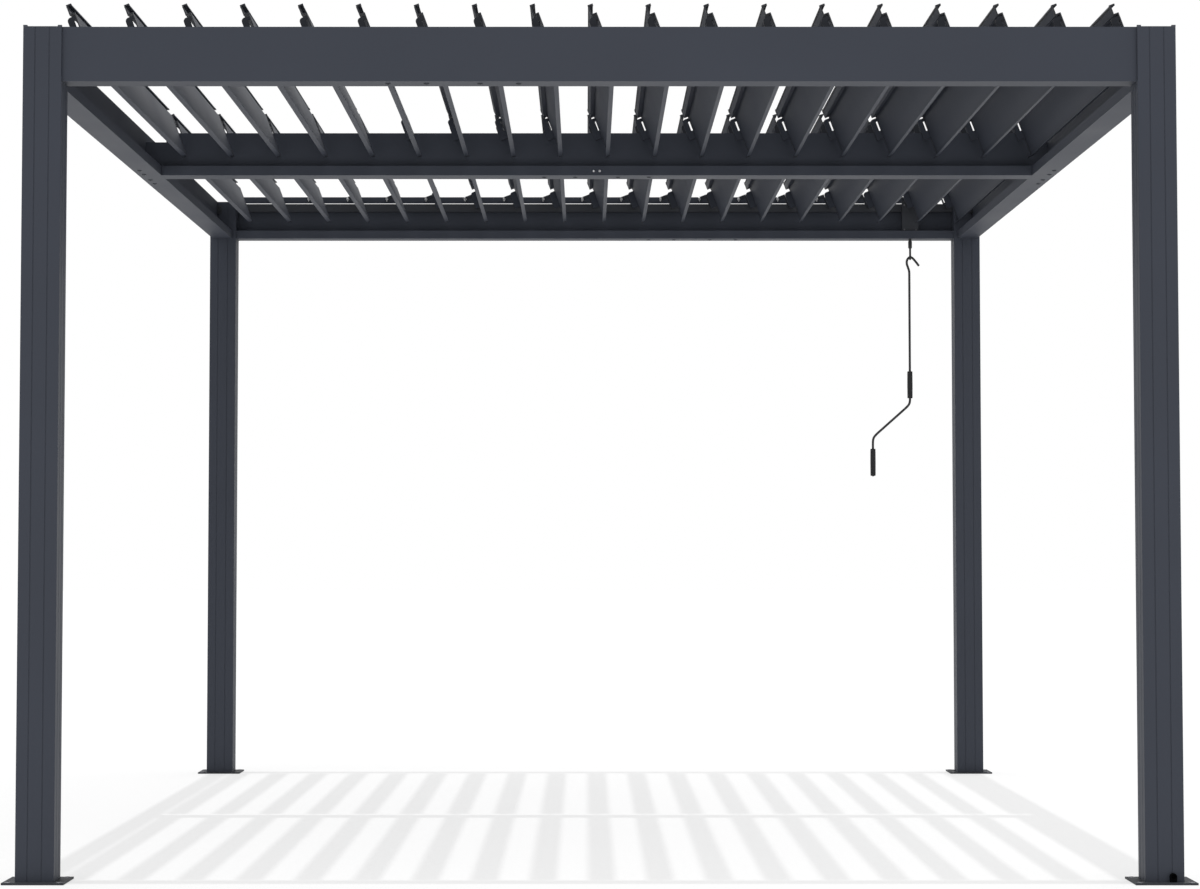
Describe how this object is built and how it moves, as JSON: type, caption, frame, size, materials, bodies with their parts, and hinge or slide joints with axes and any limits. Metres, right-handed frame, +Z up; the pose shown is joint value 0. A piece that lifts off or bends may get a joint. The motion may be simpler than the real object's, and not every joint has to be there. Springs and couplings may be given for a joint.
{
  "type": "louvered pergola",
  "caption": "Free-standing square-post pergola whose roof is two rows of tilting louvres, turned together by a link bar and a hanging crank; beams carry rain gutters.",
  "frame": {"origin": "centre of the footprint, on the ground", "axes": "+Z up, the front of the pergola faces -Y, +X to the right seen from the front, louvres run along Y"},
  "size_m": [3.06, 4.06, 2.2952],
  "materials": {
    "frame": "satin powder coat",
    "louvres": "satin powder coat",
    "plastic": "matte moulded",
    "steel": "satin"
  },
  "bodies": {
    "frame": {"post_front_left": "frame", "post_front_right": "frame", "post_rear_left": "frame", "post_rear_right": "frame", "base_plate_front_left": "frame", "base_plate_front_right": "frame", "base_plate_rear_left": "frame", "base_plate_rear_right": "frame", "post_cap_front_left": "plastic", "post_cap_front_right": "plastic", "post_cap_rear_left": "plastic", "post_cap_rear_right": "plastic", "beam_front": "frame", "beam_rear": "frame", "beam_left": "frame", "beam_right": "frame", "beam_middle": "frame", "bearing_rail_front": "frame", "bearing_rail_rear": "frame", "gear_box": "plastic", "drain_outlet": "plastic"},
    "louvre_body_01": {"louvre_01": "louvres"},
    "louvre_body_02": {"louvre_02": "louvres"},
    "louvre_body_03": {"louvre_03": "louvres"},
    "louvre_body_04": {"louvre_04": "louvres"},
    "louvre_body_05": {"louvre_05": "louvres"},
    "louvre_body_06": {"louvre_06": "louvres"},
    "louvre_body_07": {"louvre_07": "louvres"},
    "louvre_body_08": {"louvre_08": "louvres"},
    "louvre_body_09": {"louvre_09": "louvres"},
    "louvre_body_10": {"louvre_10": "louvres"},
    "louvre_body_11": {"louvre_11": "louvres"},
    "louvre_body_12": {"louvre_12": "louvres"},
    "louvre_body_13": {"louvre_13": "louvres"},
    "louvre_body_14": {"louvre_14": "louvres"},
    "louvre_body_15": {"louvre_15": "louvres"},
    "louvre_body_16": {"louvre_16": "louvres"},
    "louvre_body_17": {"louvre_17": "louvres"},
    "louvre_body_18": {"louvre_18": "louvres"},
    "louvre_body_19": {"louvre_19": "louvres"},
    "link": {"link_bar": "frame"},
    "crank": {"crank_eye": "steel", "crank_rod": "steel", "crank_grip_upper": "plastic", "crank_grip_lower": "plastic"}
  },
  "joints": [
    {"name": "louvre_pivot_10", "type": "hinge", "parent": "frame", "child": "louvre_body_10", "pos_m": [0.0018, 0, 2.21325], "axis": [0, 1, 0], "range_deg": [0, 108]},
    {"name": "louvre_pivot_01", "type": "hinge", "parent": "frame", "child": "louvre_body_01", "pos_m": [-1.3752, 0, 2.21325], "axis": [0, 1, 0], "range_deg": [0, 108]},
    {"name": "louvre_pivot_02", "type": "hinge", "parent": "frame", "child": "louvre_body_02", "pos_m": [-1.2222, 0, 2.21325], "axis": [0, 1, 0], "range_deg": [0, 108]},
    {"name": "louvre_pivot_03", "type": "hinge", "parent": "frame", "child": "louvre_body_03", "pos_m": [-1.0692, 0, 2.21325], "axis": [0, 1, 0], "range_deg": [0, 108]},
    {"name": "louvre_pivot_04", "type": "hinge", "parent": "frame", "child": "louvre_body_04", "pos_m": [-0.9162, 0, 2.21325], "axis": [0, 1, 0], "range_deg": [0, 108]},
    {"name": "louvre_pivot_05", "type": "hinge", "parent": "frame", "child": "louvre_body_05", "pos_m": [-0.7632, 0, 2.21325], "axis": [0, 1, 0], "range_deg": [0, 108]},
    {"name": "louvre_pivot_06", "type": "hinge", "parent": "frame", "child": "louvre_body_06", "pos_m": [-0.6102, 0, 2.21325], "axis": [0, 1, 0], "range_deg": [0, 108]},
    {"name": "louvre_pivot_07", "type": "hinge", "parent": "frame", "child": "louvre_body_07", "pos_m": [-0.4572, 0, 2.21325], "axis": [0, 1, 0], "range_deg": [0, 108]},
    {"name": "louvre_pivot_08", "type": "hinge", "parent": "frame", "child": "louvre_body_08", "pos_m": [-0.3042, 0, 2.21325], "axis": [0, 1, 0], "range_deg": [0, 108]},
    {"name": "louvre_pivot_09", "type": "hinge", "parent": "frame", "child": "louvre_body_09", "pos_m": [-0.1512, 0, 2.21325], "axis": [0, 1, 0], "range_deg": [0, 108]},
    {"name": "louvre_pivot_11", "type": "hinge", "parent": "frame", "child": "louvre_body_11", "pos_m": [0.1548, 0, 2.21325], "axis": [0, 1, 0], "range_deg": [0, 108]},
    {"name": "louvre_pivot_12", "type": "hinge", "parent": "frame", "child": "louvre_body_12", "pos_m": [0.3078, 0, 2.21325], "axis": [0, 1, 0], "range_deg": [0, 108]},
    {"name": "louvre_pivot_13", "type": "hinge", "parent": "frame", "child": "louvre_body_13", "pos_m": [0.4608, 0, 2.21325], "axis": [0, 1, 0], "range_deg": [0, 108]},
    {"name": "louvre_pivot_14", "type": "hinge", "parent": "frame", "child": "louvre_body_14", "pos_m": [0.6138, 0, 2.21325], "axis": [0, 1, 0], "range_deg": [0, 108]},
    {"name": "louvre_pivot_15", "type": "hinge", "parent": "frame", "child": "louvre_body_15", "pos_m": [0.7668, 0, 2.21325], "axis": [0, 1, 0], "range_deg": [0, 108]},
    {"name": "louvre_pivot_16", "type": "hinge", "parent": "frame", "child": "louvre_body_16", "pos_m": [0.9198, 0, 2.21325], "axis": [0, 1, 0], "range_deg": [0, 108]},
    {"name": "louvre_pivot_17", "type": "hinge", "parent": "frame", "child": "louvre_body_17", "pos_m": [1.0728, 0, 2.21325], "axis": [0, 1, 0], "range_deg": [0, 108]},
    {"name": "louvre_pivot_18", "type": "hinge", "parent": "frame", "child": "louvre_body_18", "pos_m": [1.2258, 0, 2.21325], "axis": [0, 1, 0], "range_deg": [0, 108]},
    {"name": "louvre_pivot_19", "type": "hinge", "parent": "frame", "child": "louvre_body_19", "pos_m": [1.3788, 0, 2.21325], "axis": [0, 1, 0], "range_deg": [0, 108]},
    {"name": "link_pin_10", "type": "hinge", "parent": "louvre_body_10", "child": "link", "pos_m": [-0.0495, 1.96, 2.23197], "axis": [0, 1, 0], "range_deg": [-108, 0]},
    {"name": "crank_turn", "type": "hinge", "parent": "frame", "child": "crank", "pos_m": [1.231, 1.924, 2], "axis": [0, 0, 1], "range_deg": [0, 2160]}
  ],
  "couplings": [
    {"joint": "louvre_pivot_01", "follows": "louvre_pivot_10", "ratio": 1},
    {"joint": "louvre_pivot_02", "follows": "louvre_pivot_10", "ratio": 1},
    {"joint": "louvre_pivot_03", "follows": "louvre_pivot_10", "ratio": 1},
    {"joint": "louvre_pivot_04", "follows": "louvre_pivot_10", "ratio": 1},
    {"joint": "louvre_pivot_05", "follows": "louvre_pivot_10", "ratio": 1},
    {"joint": "louvre_pivot_06", "follows": "louvre_pivot_10", "ratio": 1},
    {"joint": "louvre_pivot_07", "follows": "louvre_pivot_10", "ratio": 1},
    {"joint": "louvre_pivot_08", "follows": "louvre_pivot_10", "ratio": 1},
    {"joint": "louvre_pivot_09", "follows": "louvre_pivot_10", "ratio": 1},
    {"joint": "louvre_pivot_11", "follows": "louvre_pivot_10", "ratio": 1},
    {"joint": "louvre_pivot_12", "follows": "louvre_pivot_10", "ratio": 1},
    {"joint": "louvre_pivot_13", "follows": "louvre_pivot_10", "ratio": 1},
    {"joint": "louvre_pivot_14", "follows": "louvre_pivot_10", "ratio": 1},
    {"joint": "louvre_pivot_15", "follows": "louvre_pivot_10", "ratio": 1},
    {"joint": "louvre_pivot_16", "follows": "louvre_pivot_10", "ratio": 1},
    {"joint": "louvre_pivot_17", "follows": "louvre_pivot_10", "ratio": 1},
    {"joint": "louvre_pivot_18", "follows": "louvre_pivot_10", "ratio": 1},
    {"joint": "louvre_pivot_19", "follows": "louvre_pivot_10", "ratio": 1},
    {"joint": "link_pin_10", "follows": "louvre_pivot_10", "ratio": -1},
    {"joint": "crank_turn", "follows": "louvre_pivot_10", "ratio": 20}
  ]
}
